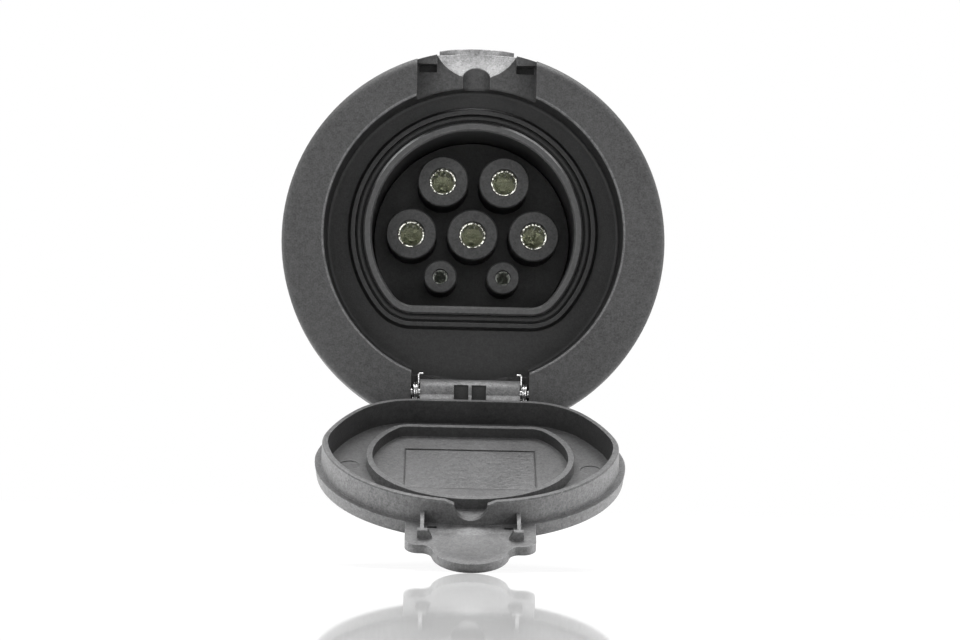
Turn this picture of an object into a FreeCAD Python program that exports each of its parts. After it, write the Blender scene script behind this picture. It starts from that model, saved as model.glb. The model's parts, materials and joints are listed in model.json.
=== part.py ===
import FreeCAD, Part
import math
import os

# Round panel socket for a charging plug, with seven sleeved contacts and a hinged lid.
# All sizes are in millimetres. +Z is up and the front faces -Y. The origin is the centre of
# the bolt circle on the flange's rear face. A "depth" is measured back from the front face.
# The lid stands open in the rest position.

Vector = FreeCAD.Vector

# Contacts' layout, which sets the socket
pin_pitch = 16.15
sleeve_gap = 2.77
sleeve_r = (pin_pitch - sleeve_gap) / 2
sleeve_wall = 1.94
sleeve_bore_r = sleeve_r - sleeve_wall
sleeve_mouth_r = sleeve_bore_r - 1.25
sleeve_lip_t = 2.2
sleeve_edge = 0.35
sleeve_front = 20.3
small_sleeve_r = sleeve_r - 2.33
small_bore_r = small_sleeve_r - 2.11
small_mouth_r = small_bore_r - 0.3
small_x = pin_pitch / 2 + 0.175
small_drop = sleeve_r + small_sleeve_r + 0.15
mouth_flare = 1.2
row_rise = pin_pitch * math.sqrt(3) / 2

# D outline of the socket, flat side down
socket_clear = 3.56
socket_r = pin_pitch + sleeve_r + socket_clear
socket_flat = small_drop + small_sleeve_r + 3.84
socket_corner_r = socket_r - 20.0

# Recess that the lid closes, and the flange around it
recess_z = 1.67
socket_z = recess_z + 1.28
seat_w = 12.05
recess_r = socket_r + seat_w
recess_depth = 12.0
recess_draft = 0.45
recess_lip_r = 0.5
recess_foot_r = 0.9
ring_w = 10.8
flange_r = recess_r + ring_w
flange_t = recess_depth + 1.0
flange_edge_r = 2.2
flange_flare = 0.3
bowl_wall = 2.6
rim_wall = 3.2
floor_t = 2.4

# Collar of the inner shell, its seal and the bezel's bead, as offsets from the D outline
collar_wall = 2.2
collar_depth = recess_depth - 1.6
collar_lead = 0.5
seal_w = 1.9
seal_crest_w = 0.8
seal_crest_depth = recess_depth - 1.5
bead_w = 2.1
bead_top_w = 1.1
bead_depth = recess_depth - 1.8
fit_gap = 0.08

# Hollow back of the flange
pocket_front = 3.2
rib_t = 1.6
rib_step_deg = 15
top_block_w = 18.5
bottom_block_w = 21.0

# Rear bolts
bolt_out = 0.15
bolt_pcd = 2 * (recess_r + ring_w / 2 + bolt_out)
bolt_count = 4
bolt_start_deg = 45
insert_r = 2.8
insert_bore_r = insert_r - 0.8
insert_len = 8.0
bolt_boss_r = insert_r + 1.5
gasket_t = 1.5
gasket_inset = 1.5
gasket_hole_r = insert_r + 0.5

# Notch for the lid's tab
notch_w = 30.8
notch_depth = 6.9
catch_in = 3.48
catch_z = flange_r - catch_in
catch_inner_x = 10.3
catch_depth = notch_depth - 2.8
window_h = 1.9
window_z0 = catch_z - window_h
window_depth = notch_depth + 2.5
window_side = 0.4
channel_r = 3.5
scoop_r = 13.97
scoop_out = 4.82
scoop_z = flange_r + scoop_out
scoop_center_depth = -0.82
scoop_half_w = 10.2

# Hinge
hinge_below = 2.47
hinge_drop = recess_r + hinge_below
hinge_depth = 4.7
hinge_z = recess_z - hinge_drop
open_deg = 114.5
barrel_r = 3.5
barrel_half_w = 12.8
bay_half_w = barrel_half_w + 2.35
bay_top_z = recess_z - recess_r + 2.18
bay_bottom_z = hinge_z - barrel_r - 1.63
bay_depth = hinge_depth + barrel_r + 0.5
rest_depth = 3.95
rest_top_z = hinge_z - barrel_r - 0.48
rest_half_w = bay_half_w + 2.55
pin_r = 1.2
pin_run_gap = 0.05
pin_bite = 2.9
pin_seat_gap = 0.02

# Springs beside the barrel
wire_d = 0.64
coil_r = pin_r + wire_d / 2 + 0.9
coil_pitch = 0.66
coil_extra_turns = 1
coil_arcs_per_turn = 4
coil_outer_x = bay_half_w - 0.35
spring_leg_z = bay_top_z + wire_d / 2 + 0.08
spring_leg_depth = bay_depth - 0.5
spring_bar_x = barrel_half_w - 0.7
spring_tail = 3.0
spring_bend_r = 0.5

# Lid, in its own frame: across, along from the hinge to the tab, and inwards when closed
lid_gap = 0.41
plate_r = recess_r - lid_gap
plate_inner_n = -0.90
plate_edge_t = 3.48
plate_edge_draft = 0.39
plate_edge_r = 0.7
plate_dome = 0.75
swing_relief = 2.0
lid_floor_sink = 0.35
lid_floor_n = plate_inner_n - lid_floor_sink
ledge_w = 1.74
wall_r = plate_r - ledge_w
wall_side_r = wall_r * 0.55
wall_rear_r = wall_r * 1.267
wall_flat = wall_r - 10.9
wall_breaks_deg = (7, -16, -36)
wall_h = 5.93
wall_top_n = plate_inner_n + wall_h
wall_t = 1.4
wall_draft = 0.3
wall_lip_r = 0.35
d_rib_h = 2.35
d_rib_top_n = plate_inner_n + d_rib_h
d_rib_gap = 1.05
d_rib_t = 1.4
pad_half_w = 16.0
pad_s0 = -8.2
pad_s1 = 14.8
pad_sink = 0.3
ejector_r = 2.5
ejector_x = wall_r - 6.8
ejector_s = 2.4
ejector_sink = 0.2
web_top_n = 1.0
tab_half_w = notch_w / 2 - 0.1
tab_t = 2.2
rim_s = flange_r - recess_z
tab_front_s = rim_s - 0.28
tab_corner_r = 3.2
nose_s = rim_s + 0.42
nose_r = 9.05
nose_blend_r = 2.0
dish_r = 8.0
dish_sink = 0.5
dish_s = nose_s - 1.2
wall_notch_top_w = 12.2
wall_notch_r = 3.9
wall_notch_n = plate_inner_n + 1.3
hook_x0 = 8.8
hook_x1 = 12.4
hook_slope = 1.2
hook_s1 = rim_s - catch_in - 0.2
hook_s0 = hook_s1 - 1.4
hook_h = 2.1
hook_rib_x = 11.3
hook_rib_t = 0.9
hook_rib_n = plate_inner_n + 2.8
tab_slot_x = 9.0
tab_slot_w = 2.2
tab_slot_s0 = wall_r + 0.65
tab_slot_s1 = tab_slot_s0 + 1.15
tab_slot_deep = 1.2
window_half_w = 4.15
window_top_rise = 2.05
window_bottom_drop = 2.0
window_sink = 1.5
window_rib_w = 0.8

# Inner shell behind the flange
shell_rear = 50.0
shell_plate_t = 3.0
shell_plate_r = recess_r + 0.35
screw_post_r = 3.6
screw_post_gap = 0.25
screw_r = 1.5
screw_bite = 4.2
screw_head_r = 3.6
screw_head_h = 2.4
screw_head_round = 1.0
screw_drive_r = 1.5
screw_drive_deep = 1.3
screw_tip_gap = 0.2
shell_screw_r = recess_r - screw_post_r - 0.25
shell_screw_count = 4
shell_screw_start = 45
lug_r = 4.0
lug_reach = socket_r + collar_wall + 2.4
lug_angles = (25, 155, 205, 335)
rear_screw_bite = 8.0

# Contact carrier and contacts
carrier_gap = 0.25
carrier_base_front = shell_rear - 10.0
carrier_rim_t = 3.0
seal_rear_t = 1.0
contact_r = sleeve_bore_r - 0.1
contact_bore_r = contact_r - 1.2
contact_front_gap = 0.1
contact_edge = 0.3
contact_bore_len = 20.0
contact_collar_r = contact_r + 0.95
contact_collar_t = 2.0
crimp_r = contact_r - 0.65
crimp_bore_r = crimp_r - 1.2
crimp_len = 14.0
crimp_bore_len = 11.0
crown_t = 0.4
crown_inset = 0.6
crown_len = 15.0
crown_slots = 12
crown_slot_w = 0.35
crown_ring = 1.4
crown_seat_gap = 0.02
small_contact_r = small_bore_r - 0.1
small_contact_bore_r = small_contact_r - 0.62
small_contact_bore_len = 14.0
small_collar_r = small_contact_r + 0.75
small_crimp_r = small_contact_r - 0.25
small_crimp_bore_r = small_crimp_r - 0.7
small_slots = 4
small_slot_w = 0.4
small_slot_len = 7.0
retainer_t = 3.5
retainer_gap = 0.3


# Frame and outline helpers
def y_of(depth):
    return depth - flange_t


def point(x, depth, z):
    return Vector(x, y_of(depth), z)


def path_edges(points):
    """Closed run of edges; a point given with a middle point first is reached by an arc."""
    edges = []
    start = points[0]
    for item in points[1:]:
        if isinstance(item, tuple):
            middle, end = item
            edges.append(Part.Arc(start, middle, end).toShape())
        else:
            end = item
            edges.append(Part.LineSegment(start, end).toShape())
        start = end
    if not start.isEqual(points[0], 1e-6):
        edges.append(Part.LineSegment(start, points[0]).toShape())
    return edges


def turned(profile, x=0.0, z=0.0):
    """Solid turned about a front-to-back axis from (radius, depth) points."""
    def place(pair):
        return point(x + pair[0], pair[1], z)
    points = [(place(p[0]), place(p[1])) if isinstance(p[0], tuple) else place(p) for p in profile]
    face = Part.Face(Part.Wire(path_edges(points)))
    return face.revolve(Vector(x, 0, z), Vector(0, 1, 0), 360)


def rod(radius, depth0, depth1, x=0.0, z=0.0):
    return Part.makeCylinder(radius, depth1 - depth0, point(x, depth0, z), Vector(0, 1, 0))


def tube(outer_r, inner_r, depth0, depth1, x=0.0, z=0.0):
    return rod(outer_r, depth0, depth1, x, z).cut(rod(inner_r, depth0 - 1, depth1 + 1, x, z))


def block(x0, x1, depth0, depth1, z0, z1):
    return Part.makeBox(x1 - x0, depth1 - depth0, z1 - z0, point(x0, depth0, z0))


def fused(first, others):
    return first.fuse(list(others)).removeSplitter()


def arc_middle(center_u, center_v, radius, degrees):
    a = math.radians(degrees)
    return center_u + radius * math.cos(a), center_v + radius * math.sin(a)


def d_points(radius, flat, corner_r):
    """D outline about its circle's centre: flat below, arc above, rounded corners."""
    corner_x = math.sqrt((radius - corner_r) ** 2 - (flat - corner_r) ** 2)
    corner_v = corner_r - flat
    lean = math.degrees(math.atan2(corner_v, corner_x))
    end = arc_middle(0, 0, radius, lean)
    foot_mid = arc_middle(corner_x, corner_v, corner_r, (lean - 90) / 2)
    foot = (corner_x, -flat)
    mirror = [(-p[0], p[1]) for p in (end, foot_mid, foot)]
    return end, foot_mid, foot, mirror


def d_wire(radius, flat, corner_r, place):
    end, foot_mid, foot, (end_m, foot_mid_m, foot_m) = d_points(radius, flat, corner_r)
    points = [place(foot_m), place(foot), (place(foot_mid), place(end)),
              (place((0, radius)), place(end_m)), (place(foot_mid_m), place(foot_m))]
    return Part.Wire(path_edges(points))


def socket_wire(offset, depth):
    def place(pair):
        return point(pair[0], depth, socket_z + pair[1])
    return d_wire(socket_r + offset, socket_flat + offset, socket_corner_r + offset, place)


def socket_prism(offset, depth0, depth1):
    return Part.Face(socket_wire(offset, depth0)).extrude(Vector(0, depth1 - depth0, 0))


def socket_taper(offset0, depth0, offset1, depth1):
    return Part.makeLoft([socket_wire(offset0, depth0), socket_wire(offset1, depth1)], True, True)


def ring_places(radius, count, start_deg, x=0.0, z=0.0):
    places = []
    for i in range(count):
        a = math.radians(start_deg + 360.0 * i / count)
        places.append((x + radius * math.cos(a), z + radius * math.sin(a)))
    return places


# Places shared by several pieces
power_places = {
    "l1": (pin_pitch, socket_z), "earth": (0.0, socket_z), "neutral": (-pin_pitch, socket_z),
    "l2": (pin_pitch / 2, socket_z + row_rise), "l3": (-pin_pitch / 2, socket_z + row_rise),
}
small_places = {
    "pilot": (small_x, socket_z - small_drop), "proximity": (-small_x, socket_z - small_drop),
}
bolt_places = ring_places(bolt_pcd / 2, bolt_count, bolt_start_deg)
floor_back = recess_depth + floor_t
plate_back = floor_back + shell_plate_t
shell_screw_places = ring_places(shell_screw_r, shell_screw_count, shell_screw_start, z=recess_z)
lug_places = [(lug_reach * math.cos(math.radians(a)),
               socket_z + lug_reach * math.sin(math.radians(a))) for a in lug_angles]
carrier_rim_front = shell_rear + seal_rear_t
carrier_back = carrier_rim_front + carrier_rim_t
bead_start = collar_wall + seal_w + 2 * fit_gap
contact_front = sleeve_front + sleeve_lip_t + contact_front_gap
collar_front = carrier_back - contact_collar_t
retainer_back = carrier_back + retainer_t


# Front flange
def flange_blank():
    side_r = flange_r + flange_flare
    edge_mid = arc_middle(flange_r - flange_edge_r, flange_edge_r, flange_edge_r, -45)
    return turned([(0, 0), (flange_r - flange_edge_r, 0), (edge_mid, (flange_r, flange_edge_r)),
                   (side_r, flange_t), (0, flange_t)])


def recess_space():
    foot_r = recess_r - recess_draft
    lip_mid = arc_middle(recess_r + recess_lip_r, recess_lip_r, recess_lip_r, 225)
    foot_mid = arc_middle(foot_r - recess_foot_r, recess_depth - recess_foot_r, recess_foot_r, 45)
    return turned([(0, -1), (recess_r + recess_lip_r, -1), (recess_r + recess_lip_r, 0),
                   (lip_mid, (recess_r, recess_lip_r)),
                   (foot_r, recess_depth - recess_foot_r),
                   (foot_mid, (foot_r - recess_foot_r, recess_depth)), (0, recess_depth)],
                  z=recess_z)


def back_pockets():
    """Hollow back between the bowl and the rim, with radial ribs and bolt bosses left in."""
    ring = rod(flange_r + flange_flare - rim_wall, pocket_front, flange_t + 1)
    keep = [rod(recess_r + bowl_wall, 0, flange_t + 2, z=recess_z),
            block(-top_block_w, top_block_w, 0, flange_t + 2, 0, flange_r),
            block(-bottom_block_w, bottom_block_w, 0, flange_t + 2, -flange_r, 0)]
    keep += [rod(bolt_boss_r, 0, flange_t + 2, x, z) for x, z in bolt_places]
    for i in range(180 // rib_step_deg):
        rib = block(-flange_r, flange_r, 0, flange_t + 2, -rib_t / 2, rib_t / 2)
        rib.rotate(Vector(0, 0, 0), Vector(0, 1, 0), i * rib_step_deg + rib_step_deg / 2)
        keep.append(rib)
    return ring.cut(keep)


def tab_notch():
    """Space for the tab: a flat notch with catches at the rim, windows and a finger scoop."""
    half = notch_w / 2
    beyond = flange_r + 5
    spaces = [block(-half, half, -1, notch_depth, recess_z, catch_z),
              block(-catch_inner_x, catch_inner_x, -1, notch_depth, recess_z, beyond),
              block(-half, half, -1, catch_depth, recess_z, beyond)]
    for side in (-1, 1):
        x0, x1 = sorted((side * catch_inner_x, side * (half - window_side)))
        spaces.append(block(x0, x1, notch_depth - 1, window_depth, window_z0, catch_z))
    channel = Part.makeCylinder(channel_r, beyond, point(0, notch_depth, recess_z), Vector(0, 0, 1))
    ball = Part.makeSphere(scoop_r, point(0, scoop_center_depth, scoop_z))
    lane = block(-scoop_half_w, scoop_half_w, -1, flange_t + 1, recess_z, beyond)
    return spaces + [channel, ball.common(lane)]


def hinge_bay():
    """Bay for the lid's barrel, and the stepped rest that stops the open lid."""
    return [block(-bay_half_w, bay_half_w, -1, recess_depth, bay_top_z, recess_z - recess_r / 2),
            block(-bay_half_w, bay_half_w, -1, bay_depth, bay_bottom_z, bay_top_z),
            block(-rest_half_w, rest_half_w, -1, rest_depth, -flange_r - 1, rest_top_z)]


def pin_bore():
    """Blind on the left, open through the rim on the right, where the pin goes in."""
    start = -bay_half_w - pin_bite
    return Part.makeCylinder(pin_r + pin_seat_gap, flange_r - start,
                             point(start, hinge_depth, hinge_z), Vector(1, 0, 0))


def front_flange():
    body = flange_blank()
    body = body.cut([recess_space(), back_pockets()] + tab_notch() + hinge_bay())
    floor_disc = rod(recess_r + bowl_wall, recess_depth, floor_back, z=recess_z)
    bead = socket_taper(bead_start + bead_w, recess_depth + 0.5, bead_start + bead_top_w, bead_depth)
    posts = [rod(screw_post_r, floor_back - 0.5, plate_back - screw_post_gap, x, z)
             for x, z in shell_screw_places]
    body = fused(body, [floor_disc, bead] + posts)
    holes = [socket_prism(bead_start, bead_depth - 1, floor_back + 1), pin_bore()]
    holes += [rod(insert_r, flange_t - insert_len - 0.5, flange_t + 1, x, z) for x, z in bolt_places]
    holes += [rod(screw_r, plate_back - screw_bite, plate_back + 1, x, z)
              for x, z in shell_screw_places]
    return body.cut(holes).removeSplitter()


# Collar seal, panel gasket, threaded inserts
def collar_seal():
    inner = collar_wall + fit_gap
    base_front = recess_depth - 0.4
    body = socket_prism(inner + seal_w, base_front, floor_back)
    crest = socket_prism(inner + (seal_w + seal_crest_w) / 2, seal_crest_depth, base_front + 0.5)
    inside = socket_prism(inner, seal_crest_depth - 1, floor_back + 1)
    crest = crest.cut(socket_prism(inner + (seal_w - seal_crest_w) / 2, seal_crest_depth - 1,
                                   base_front))
    return fused(body, [crest]).cut(inside)


def panel_gasket():
    outer = rod(flange_r + flange_flare - gasket_inset, flange_t, flange_t + gasket_t)
    hole = rod(recess_r + bowl_wall + fit_gap, flange_t - 1, flange_t + gasket_t + 1, z=recess_z)
    bolts = [rod(gasket_hole_r, flange_t - 1, flange_t + gasket_t + 1, x, z) for x, z in bolt_places]
    return outer.cut([hole] + bolts)


def mounting_inserts():
    bushes = [tube(insert_r, insert_bore_r, flange_t - insert_len, flange_t, x, z)
              for x, z in bolt_places]
    return Part.makeCompound(bushes)


# Screws
def pan_screw(x, z, seat, tip):
    """Screw whose head sits behind the seat depth and whose shank points forwards."""
    top = seat + screw_head_h
    round_r = screw_head_round
    head_mid = arc_middle(screw_head_r - round_r, top - round_r, round_r, 45)
    body = turned([(0, tip), (screw_r, tip), (screw_r, seat), (screw_head_r, seat),
                   (screw_head_r, top - round_r), (head_mid, (screw_head_r - round_r, top)),
                   (0, top)], x, z)
    drive = Part.makePolygon([point(x + screw_drive_r * math.cos(math.radians(60 * i)),
                                    seat + screw_head_h - screw_drive_deep,
                                    z + screw_drive_r * math.sin(math.radians(60 * i)))
                              for i in range(7)])
    return body.cut(Part.Face(drive).extrude(Vector(0, screw_drive_deep + 1, 0)))


def shell_screws():
    return Part.makeCompound([pan_screw(x, z, plate_back, plate_back - screw_bite + screw_tip_gap)
                              for x, z in shell_screw_places])


def rear_screws():
    return Part.makeCompound([pan_screw(x, z, retainer_back, shell_rear - rear_screw_bite + screw_tip_gap)
                              for x, z in lug_places])


# Inner shell
def socket_shell():
    lead = collar_lead
    body = socket_prism(collar_wall, collar_depth + lead, shell_rear)
    nose = socket_taper(collar_wall - lead, collar_depth, collar_wall, collar_depth + lead)
    plate = rod(shell_plate_r, floor_back, plate_back, z=recess_z)
    lugs = [rod(lug_r, floor_back, shell_rear, x, z) for x, z in lug_places]
    body = fused(body, [nose, plate] + lugs)
    mouth = socket_taper(lead, collar_depth - 0.01, 0, collar_depth + lead)
    holes = [socket_prism(0, collar_depth - 1, shell_rear + 1), mouth]
    holes += [rod(screw_post_r + screw_post_gap, floor_back - 1, plate_back + 1, x, z)
              for x, z in shell_screw_places]
    holes += [rod(screw_r, shell_rear - rear_screw_bite, shell_rear + 1, x, z)
              for x, z in lug_places]
    return body.cut(holes).removeSplitter()


def rear_outline(depth0, depth1):
    """Rear outline shared by the gasket, the carrier's rim and the retainer."""
    lugs = [rod(lug_r, depth0, depth1, x, z) for x, z in lug_places]
    return fused(socket_prism(collar_wall, depth0, depth1), lugs)


def screw_clearance(depth0, depth1):
    return [rod(screw_r + 0.2, depth0 - 1, depth1 + 1, x, z) for x, z in lug_places]


def carrier_gasket():
    body = rear_outline(shell_rear, carrier_rim_front)
    hole = socket_prism(0, shell_rear - 1, carrier_rim_front + 1)
    return body.cut([hole] + screw_clearance(shell_rear, carrier_rim_front))


# Contact carrier with its seven sleeves
def sleeve(x, z, radius):
    return turned([(0, sleeve_front), (radius - sleeve_edge, sleeve_front),
                   (radius, sleeve_front + sleeve_edge), (radius, carrier_base_front + 1),
                   (0, carrier_base_front + 1)], x, z)


def contact_way(x, z, mouth_r, bore_r, collar_r):
    """Stepped hole for a contact: narrow mouth, long bore, counterbore at the rear."""
    return turned([(0, sleeve_front - 1), (mouth_r + mouth_flare, sleeve_front - 1),
                   (mouth_r, sleeve_front + mouth_flare - 1),
                   (mouth_r, sleeve_front + sleeve_lip_t), (bore_r, sleeve_front + sleeve_lip_t),
                   (bore_r, collar_front), (collar_r + fit_gap, collar_front),
                   (collar_r + fit_gap, carrier_back + 1), (0, carrier_back + 1)], x, z)


def contact_carrier():
    core = socket_prism(-carrier_gap, carrier_base_front, carrier_back)
    rim = rear_outline(carrier_rim_front, carrier_back)
    sleeves = [sleeve(x, z, sleeve_r) for x, z in power_places.values()]
    sleeves += [sleeve(x, z, small_sleeve_r) for x, z in small_places.values()]
    body = fused(core, [rim] + sleeves)
    ways = [contact_way(x, z, sleeve_mouth_r, sleeve_bore_r, contact_collar_r)
            for x, z in power_places.values()]
    ways += [contact_way(x, z, small_mouth_r, small_bore_r, small_collar_r)
             for x, z in small_places.values()]
    return body.cut(ways + screw_clearance(carrier_rim_front, carrier_back))


def contact_retainer():
    body = rear_outline(carrier_back, retainer_back)
    holes = [rod(crimp_r + retainer_gap, carrier_back - 1, retainer_back + 1, x, z)
             for x, z in power_places.values()]
    holes += [rod(small_crimp_r + retainer_gap, carrier_back - 1, retainer_back + 1, x, z)
              for x, z in small_places.values()]
    return body.cut(holes + screw_clearance(carrier_back, retainer_back))


# Contacts
def turned_contact(x, z, outer_r, bore_r, bore_len, collar_r, rear_r, rear_bore_r):
    body = turned([(0, contact_front), (outer_r - contact_edge, contact_front),
                   (outer_r, contact_front + contact_edge),
                   (outer_r, collar_front), (collar_r, collar_front), (collar_r, carrier_back),
                   (rear_r, carrier_back), (rear_r, carrier_back + crimp_len),
                   (0, carrier_back + crimp_len)], x, z)
    front_bore = turned([(0, contact_front - 1), (bore_r + contact_edge, contact_front - 1),
                         (bore_r + contact_edge, contact_front),
                         (bore_r, contact_front + contact_edge),
                         (bore_r, contact_front + bore_len),
                         (0, contact_front + bore_len + bore_r / 2)], x, z)
    rear_bore = rod(rear_bore_r, carrier_back + crimp_len - crimp_bore_len,
                    carrier_back + crimp_len + 1, x, z)
    return body.cut([front_bore, rear_bore])


def power_contact(x, z):
    return turned_contact(x, z, contact_r, contact_bore_r, contact_bore_len, contact_collar_r,
                          crimp_r, crimp_bore_r)


def small_contact(x, z):
    body = turned_contact(x, z, small_contact_r, small_contact_bore_r, small_contact_bore_len,
                          small_collar_r, small_crimp_r, small_crimp_bore_r)
    slots = []
    for i in range(small_slots // 2):
        slot = block(x - small_contact_r - 1, x + small_contact_r + 1, contact_front - 1,
                     contact_front + small_slot_len, z - small_slot_w / 2, z + small_slot_w / 2)
        slot.rotate(Vector(x, 0, z), Vector(0, 1, 0), 45 + 360.0 * i / small_slots)
        slots.append(slot)
    return body.cut(slots)


def contact_crown(x, z):
    """Slotted spring cage that lines the contact's bore and grips the pin."""
    outer_r = contact_bore_r - crown_seat_gap
    front = contact_front + crown_inset
    body = tube(outer_r, outer_r - crown_t, front, front + crown_len, x, z)
    slots = []
    for i in range(crown_slots // 2):
        slot = block(x - outer_r - 1, x + outer_r + 1, front + crown_ring,
                     front + crown_len - crown_ring, z - crown_slot_w / 2, z + crown_slot_w / 2)
        slot.rotate(Vector(x, 0, z), Vector(0, 1, 0), 360.0 * i / crown_slots + 9)
        slots.append(slot)
    return body.cut(slots)


# Hinge pin and springs
def hinge_pin():
    start = -bay_half_w - pin_bite
    return Part.makeCylinder(pin_r, -2 * start, point(start, hinge_depth, hinge_z), Vector(1, 0, 0))


def line_edge(a, b):
    return Part.LineSegment(a, b).toShape()


def square_bend(corner, back, on, radius):
    """Quarter arc at a corner, between unit directions back along the wire and on along it."""
    middle = corner + (back + on) * (radius * (1 - math.sqrt(0.5)))
    return Part.Arc(corner + back * radius, middle, corner + on * radius).toShape()


def left_spring():
    """Torsion spring: its upper leg hooks over the step, its tail points at the lid."""
    across = coil_outer_x - spring_bar_x
    hook_u = spring_leg_depth - hinge_depth
    hook_v = spring_leg_z - hinge_z
    reach = math.hypot(hook_u, hook_v)
    end_deg = math.degrees(math.atan2(hook_v, hook_u) - math.acos(coil_r / reach))
    sweep = 360 * (1 + coil_extra_turns) + 90 + end_deg

    def on_coil(degrees):
        a = math.radians(degrees - 90)
        return Vector(coil_r * math.cos(a), coil_r * math.sin(a), coil_pitch * degrees / 360)
    arcs = coil_arcs_per_turn * (1 + coil_extra_turns) + 1
    step = sweep / arcs
    tail = Vector(-spring_tail, -coil_r, 0)
    edges = [line_edge(tail, on_coil(0))]
    edges += [Part.Arc(on_coil(i * step), on_coil((i + 0.5) * step),
                       on_coil((i + 1) * step)).toShape() for i in range(arcs)]
    top = on_coil(sweep)
    hook = Vector(hook_u, hook_v, top.z)
    back = (top - hook).normalize()
    inward = Vector(0, 0, 1)
    edges.append(line_edge(top, hook + back * spring_bend_r))
    edges.append(square_bend(hook, back, inward, spring_bend_r))
    edges.append(line_edge(hook + inward * spring_bend_r, Vector(hook_u, hook_v, across)))
    ring = Part.Wire(Part.makeCircle(wire_d / 2, tail, Vector(1, 0, 0)))
    spring = Part.Wire(edges).makePipeShell([ring], True, True)
    turn = FreeCAD.Rotation(Vector(0, 1, 0), Vector(0, 0, 1), Vector(1, 0, 0), "XYZ")
    spring.Placement = FreeCAD.Placement(point(-coil_outer_x, hinge_depth, hinge_z), turn)
    return spring


def right_spring():
    return left_spring().mirror(Vector(0, 0, 0), Vector(1, 0, 0))


# Lid, drawn closed in its own frame and then laid open
def lid_point(x, s, n):
    return Vector(x, s, n)


def lid_block(x0, x1, s0, s1, n0, n1):
    return Part.makeBox(x1 - x0, s1 - s0, n1 - n0, lid_point(x0, s0, n0))


def lid_rod(radius, n0, n1, x, s):
    return Part.makeCylinder(radius, n1 - n0, lid_point(x, s, n0))


def lid_plate():
    """Round plate with a drafted edge and a slightly domed outer face."""
    outer_n = plate_inner_n - plate_edge_t
    edge_r = plate_r - plate_edge_draft
    edge_mid = arc_middle(edge_r - plate_edge_r, outer_n + plate_edge_r, plate_edge_r, -45)
    dome_edge = edge_r - plate_edge_r
    ball_r = (dome_edge ** 2 + plate_dome ** 2) / (2 * plate_dome)
    half = math.degrees(math.asin(dome_edge / ball_r)) / 2
    dome_mid = arc_middle(0, outer_n - plate_dome + ball_r, ball_r, half - 90)
    points = [Vector(0, 0, plate_inner_n), Vector(plate_r, 0, plate_inner_n),
              Vector(edge_r, 0, outer_n + plate_edge_r),
              (Vector(edge_mid[0], 0, edge_mid[1]), Vector(dome_edge, 0, outer_n)),
              (Vector(dome_mid[0], 0, dome_mid[1]), Vector(0, 0, outer_n - plate_dome))]
    disc = Part.Face(Part.Wire(path_edges(points)))
    disc = disc.revolve(Vector(0, 0, 0), Vector(0, 0, 1), 360)
    return disc.common(swing_form())


def swing_form():
    """Trims the plate's inner edge beside the hinge so that it clears the recess as it swings."""
    def ring(share, n):
        radius = plate_r + (swing_relief / 12) * share
        return Part.Wire(Part.makeCircle(radius, Vector(0, swing_relief * share, n)))
    full_n = plate_inner_n - plate_edge_t + 0.18
    height = plate_inner_n - full_n
    low_n, high_n = full_n - height * 0.5, plate_inner_n + height * 0.25
    return Part.makeLoft([ring(-0.5, low_n), ring(1.25, high_n)], True, True)


def wall_wire(offset, n):
    """Wall outline at a height: tangent arcs from the front round to the flat back."""
    radii = [wall_r, wall_side_r, wall_rear_r]
    center = (0.0, 0.0)
    right = []
    for i, radius in enumerate(radii):
        end_deg = wall_breaks_deg[i]
        end = arc_middle(center[0], center[1], radius + offset, end_deg)
        if i:
            middle_deg = (wall_breaks_deg[i - 1] + end_deg) / 2
            right.append((arc_middle(center[0], center[1], radius + offset, middle_deg), end))
        else:
            right.append(end)
        joint = arc_middle(center[0], center[1], radius, end_deg)
        lean = math.sin(math.radians(end_deg))
        following = (radii + [(wall_flat + joint[1]) / (1 + lean)])[i + 1]
        center = arc_middle(joint[0], joint[1], -following, end_deg)
    radius = following + offset
    last_middle = arc_middle(center[0], center[1], radius, (wall_breaks_deg[-1] - 90) / 2)
    right.append((last_middle, (center[0], center[1] - radius)))

    def pt(pair, side):
        return lid_point(side * pair[0], pair[1], n)
    points = [pt(right[0], 1)] + [(pt(m, 1), pt(e, 1)) for m, e in right[1:]]
    points.append(pt(right[-1][1], -1))
    ends = [right[0]] + [e for m, e in right[1:]]
    for i in range(len(right) - 1, 0, -1):
        points.append((pt(right[i][0], -1), pt(ends[i - 1], -1)))
    points.append((pt((0, wall_r + offset), 1), pt(right[0], 1)))
    return Part.Wire(path_edges(points))


def lid_wall():
    """Outer and inner forms of the wall; the rim's outer edge is chamfered."""
    low = Part.makeLoft([wall_wire(wall_draft, lid_floor_n),
                         wall_wire(0, wall_top_n - wall_lip_r)], True, True)
    lip = Part.makeLoft([wall_wire(0, wall_top_n - wall_lip_r),
                         wall_wire(-wall_lip_r, wall_top_n)], True, True)
    inner = Part.makeLoft([wall_wire(-wall_t, lid_floor_n), wall_wire(-wall_t, wall_top_n + 1)],
                          True, True)
    return low.fuse(lip), inner


def d_rib():
    s0 = socket_z - recess_z

    def wire(offset, n):
        def place(pair):
            return lid_point(pair[0], s0 + pair[1], n)
        gap = d_rib_gap + offset
        return d_wire(socket_r - gap, socket_flat - gap, socket_corner_r - gap, place)
    height = d_rib_top_n - lid_floor_n
    outer = Part.makeLoft([wire(-0.1, lid_floor_n - 0.3), wire(0, d_rib_top_n)], True, True)
    inner = Part.Face(wire(d_rib_t, lid_floor_n)).extrude(Vector(0, 0, height + 1))
    return outer, inner


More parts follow.
